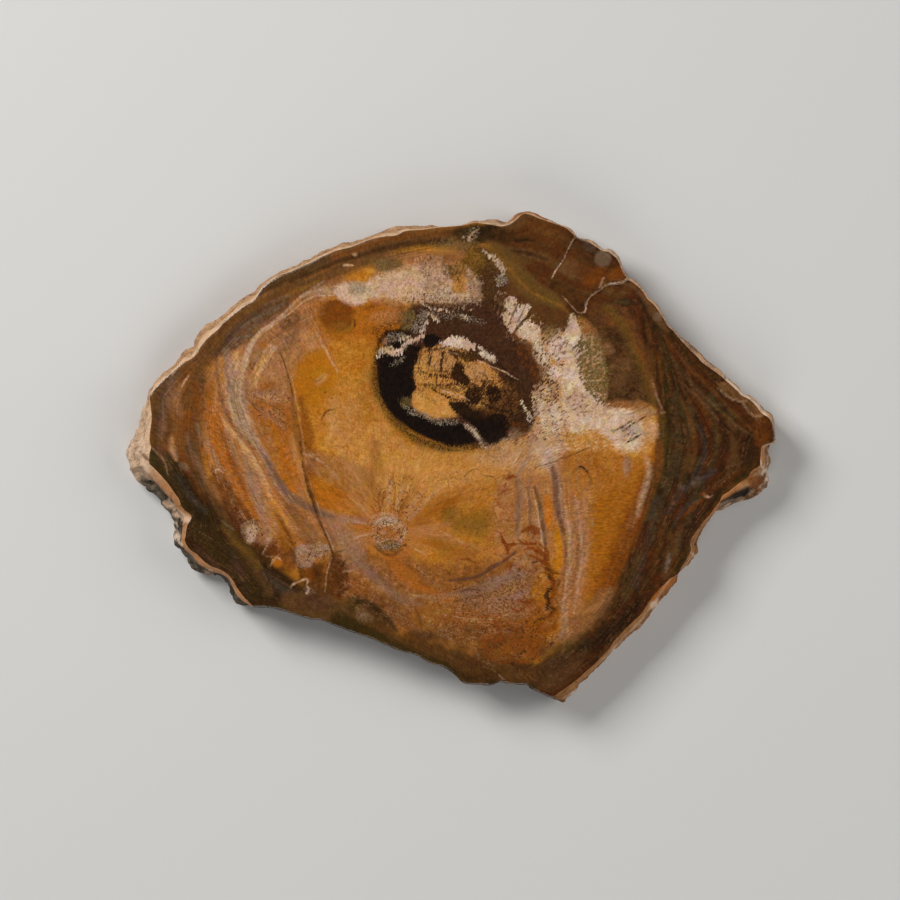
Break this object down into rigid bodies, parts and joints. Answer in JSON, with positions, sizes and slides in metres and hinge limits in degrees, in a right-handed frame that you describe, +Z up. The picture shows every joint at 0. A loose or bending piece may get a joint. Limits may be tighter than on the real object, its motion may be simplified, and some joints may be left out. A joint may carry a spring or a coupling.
{
  "type": "petrified wood slice",
  "caption": "Flat slice of petrified wood lying on its sawn back, polished agate face up, with an irregular broken and weathered rim.",
  "frame": {"origin": "on the sawn back's plane, under the middle of the slab's bounding box", "axes": "+Z up out of the polished face, +X towards the blunt lobe of the rim (right in the picture), +Y towards the long bowed side (top in the picture)"},
  "size_m": [0.195, 0.1474, 0.014],
  "materials": {
    "petrified_wood": "polished agate face in orange, cream, lilac, brown and black; rough weathered rim; sawn matt back"
  },
  "bodies": {
    "root": {"petrified_wood_slice": "petrified_wood"}
  },
  "joints": []
}
